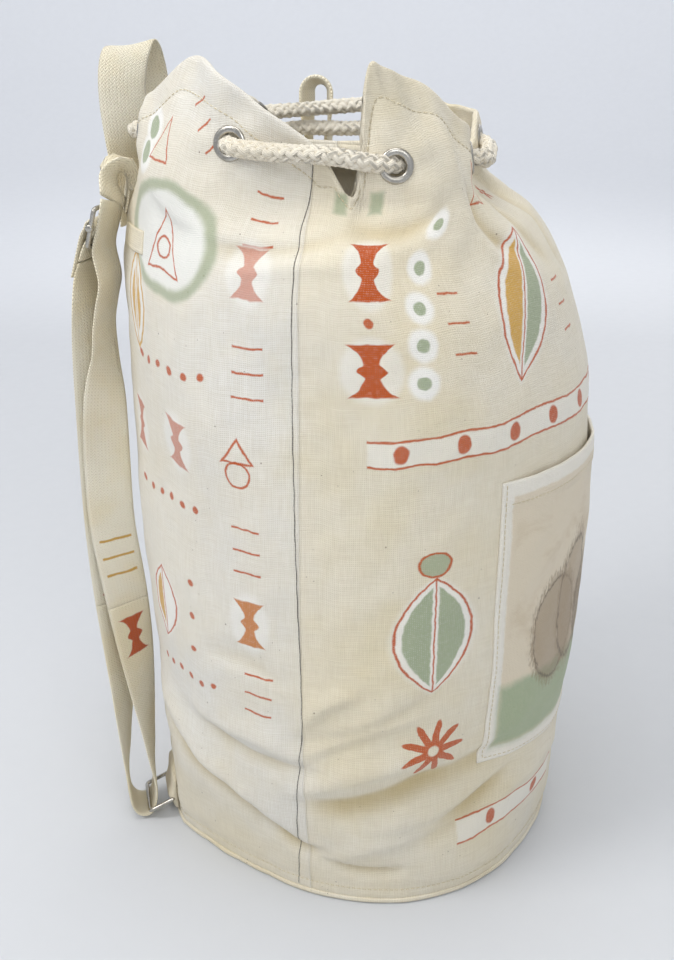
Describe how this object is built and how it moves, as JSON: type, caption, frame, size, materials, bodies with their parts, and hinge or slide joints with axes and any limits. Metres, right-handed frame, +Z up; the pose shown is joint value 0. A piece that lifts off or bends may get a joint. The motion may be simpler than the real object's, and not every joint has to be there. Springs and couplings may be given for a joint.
{
  "type": "canvas drawstring duffel bag",
  "caption": "Tall round canvas bag, gathered at the mouth by a rope through metal eyelets, with a webbing shoulder strap, grab handle, hanging loop and front pocket.",
  "frame": {"origin": "centre of the base, on the floor", "axes": "+Z up the bag; -Y towards the pocket, +Y towards the strap; side seams at -X and +X"},
  "size_m": [0.31, 0.34, 0.547],
  "materials": {
    "canvas": "matte natural cotton canvas",
    "pocket_canvas": "matte canvas with a painted ground",
    "webbing": "matte heavy cotton webbing",
    "rope": "braided cotton",
    "nickel": "bright nickel plate"
  },
  "bodies": {
    "bag": {"front_panel": "canvas", "back_panel": "canvas", "rim_hem_front": "canvas", "rim_hem_back": "canvas", "side_seam_near": "canvas", "side_seam_far": "canvas", "base_disc": "canvas", "base_binding": "canvas", "front_pocket": "pocket_canvas", "pocket_hem": "pocket_canvas", "strap_tab": "canvas", "handle_patch": "canvas", "strap_anchor_patch": "canvas", "strap_top_run": "webbing", "strap_front_run": "webbing", "strap_lower_bend": "webbing", "strap_back_run": "webbing", "drawstring": "rope", "drawstring_knot_1": "rope", "drawstring_knot_2": "rope", "eyelet_1": "nickel", "eyelet_2": "nickel", "eyelet_3": "nickel", "eyelet_4": "nickel", "eyelet_5": "nickel", "eyelet_6": "nickel", "eyelet_7": "nickel", "eyelet_8": "nickel", "eyelet_washers": "nickel"},
    "slide": {"strap_slide": "nickel", "strap_bar_fold": "webbing"},
    "ring": {"strap_ring": "nickel"},
    "handle": {"carry_handle": "webbing"},
    "loop": {"hanging_loop": "canvas"}
  },
  "joints": [
    {"name": "slide_travel", "type": "slide", "parent": "bag", "child": "slide", "axis": [-0.0636, 0.1247, -0.9902], "range_m": [0, 0.05], "deforming": ["strap_back_run", "strap_front_run"]},
    {"name": "ring_swing", "type": "hinge", "parent": "bag", "child": "ring", "pos_m": [-0.06637, 0.13027, 0.017], "axis": [-0.891, -0.454, 0], "range_deg": [-60, 12], "deforming": ["strap_lower_bend"]},
    {"name": "handle_fold", "type": "hinge", "parent": "bag", "child": "handle", "pos_m": [0.0055, 0.1575, 0.4345], "axis": [-0.9994, 0.0349, 0], "range_deg": [0, 70]},
    {"name": "hanging_loop_fold", "type": "hinge", "parent": "bag", "child": "loop", "pos_m": [0.117, 0.061, 0.4515], "axis": [0, 1, 0], "range_deg": [0, 60]}
  ]
}
